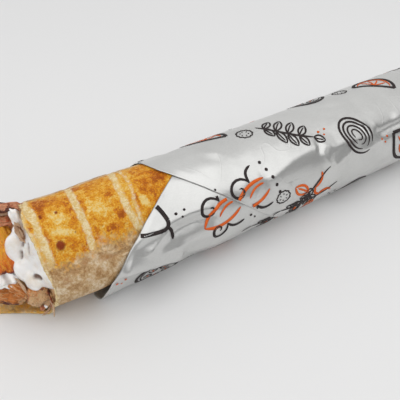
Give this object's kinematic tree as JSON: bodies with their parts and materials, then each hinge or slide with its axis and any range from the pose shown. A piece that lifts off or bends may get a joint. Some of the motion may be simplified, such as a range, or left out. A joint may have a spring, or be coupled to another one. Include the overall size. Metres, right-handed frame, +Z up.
{
  "type": "saj sandwich",
  "caption": "Grilled saj flatbread rolled round chicken and white garlic sauce, with one open end, lying half wrapped in a sheet of greaseproof paper.",
  "frame": {"origin": "centre of the bounding box at table level", "axes": "+X along the roll from its open end to its wrapped end, -Y the front with the paper's visible seam, +Z up"},
  "size_m": [0.31, 0.0603, 0.0582],
  "materials": {
    "grilled_bread": "matt, browned in patches between pale grill lines",
    "wrapping_paper": "satin pearly white greaseproof paper with a printed pattern",
    "garlic_sauce": "wet, thick and smooth",
    "grilled_chicken": "moist, seared orange brown",
    "charred_chicken": "moist, charred at the edges",
    "spiced_chicken": "moist, reddish and pale"
  },
  "bodies": {
    "root": {"saj_bread": "grilled_bread", "wrapper_paper": "wrapping_paper", "chicken_filling": "grilled_chicken", "garlic_sauce": "garlic_sauce", "garlic_sauce_dollop": "garlic_sauce", "chicken_golden_piece": "grilled_chicken", "chicken_charred_strip": "charred_chicken", "chicken_red_strip": "spiced_chicken", "chicken_shred": "spiced_chicken", "chicken_round_chunk": "grilled_chicken", "chicken_low_piece": "grilled_chicken", "chicken_thin_shred": "grilled_chicken"}
  },
  "joints": []
}
